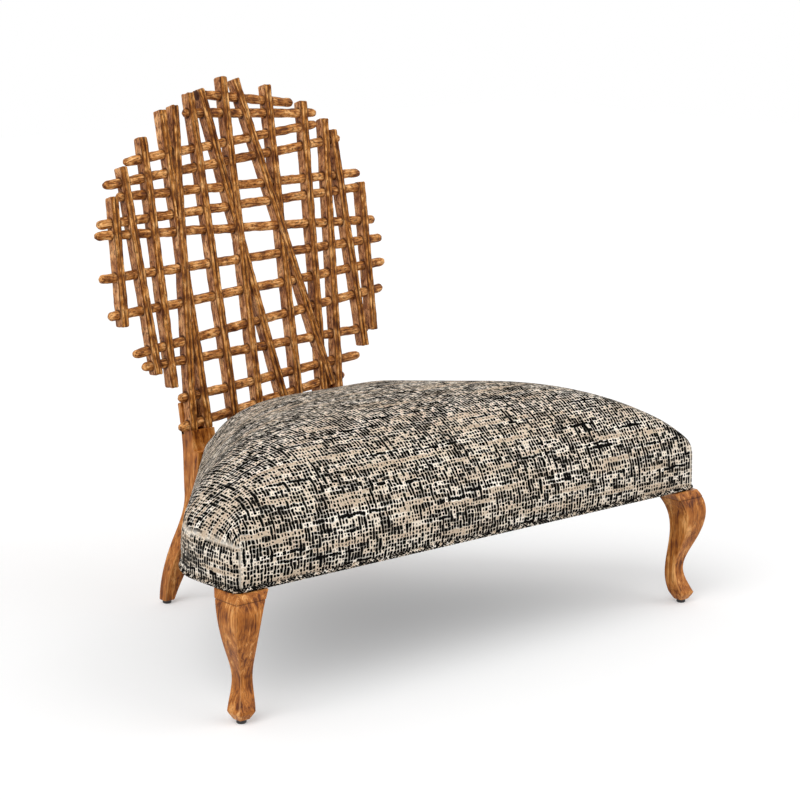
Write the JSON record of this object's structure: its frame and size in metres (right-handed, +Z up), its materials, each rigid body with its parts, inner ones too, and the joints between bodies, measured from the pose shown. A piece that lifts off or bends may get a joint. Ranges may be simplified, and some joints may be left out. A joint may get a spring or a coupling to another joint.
{
  "type": "twig-back slipper chair",
  "caption": "Low wide slipper chair: domed tweed seat on two cabriole front legs and two sabre rear legs, with a leaning round back of crossed twigs and rods",
  "frame": {"origin": "On the floor, at the centre of the footprint of the chair's bounding box", "axes": "+Z up; the chair faces -Y; +X is to the right seen from the front"},
  "size_m": [1.184, 0.8282, 1.05],
  "materials": {
    "twig_wood": "satin lacquered hardwood with a dark glaze rubbed into its bark grooves",
    "leg_wood": "satin lacquered hardwood, honey brown, glazed darker in its hollows",
    "frame_wood": "planed kiln-dried beech, unfinished",
    "tweed": "boucle tweed in cream and black with thick and thin yarns",
    "foam": "cut polyurethane foam",
    "wadding": "polyester wadding",
    "dust_cloth": "black spun-bonded dust cloth",
    "hessian": "plain woven jute hessian",
    "webbing": "herringbone jute webbing",
    "glide_plastic": "moulded black nylon",
    "steel": "zinc-plated steel"
  },
  "bodies": {
    "root": {"seat_cover": "tweed", "bottom_welt": "tweed", "seat_foam": "foam", "band_padding": "wadding", "hessian_deck": "hessian", "webbing_lengthwise": "webbing", "webbing_crosswise": "webbing", "front_rail": "frame_wood", "back_rail": "frame_wood", "end_rail_left": "frame_wood", "end_rail_right": "frame_wood", "side_rail_left": "frame_wood", "side_rail_right": "frame_wood", "centre_brace": "frame_wood", "frame_dowels": "frame_wood", "dust_cover": "dust_cloth", "front_leg_left": "leg_wood", "front_leg_right": "leg_wood", "front_leg_bolts": "steel", "front_leg_inserts": "steel", "rear_leg_left": "leg_wood", "rear_leg_right": "leg_wood", "post_bolts": "steel", "post_nuts": "steel", "bolt_plugs": "leg_wood", "lattice_screws": "steel", "glides": "glide_plastic", "upright_01": "twig_wood", "upright_02": "twig_wood", "upright_03": "twig_wood", "upright_04": "twig_wood", "upright_05": "twig_wood", "upright_06": "twig_wood", "upright_07": "twig_wood", "upright_08": "twig_wood", "upright_09": "twig_wood", "upright_10": "twig_wood", "upright_11": "twig_wood", "upright_12": "twig_wood", "upright_13": "twig_wood", "upright_14": "twig_wood", "rod_01": "twig_wood", "rod_02": "twig_wood", "rod_03": "twig_wood", "rod_04": "twig_wood", "rod_05": "twig_wood", "rod_06": "twig_wood", "rod_07": "twig_wood", "rod_08": "twig_wood", "rod_09": "twig_wood", "rod_10": "twig_wood", "rod_11": "twig_wood", "rod_12": "twig_wood", "rod_13": "twig_wood"}
  },
  "joints": []
}
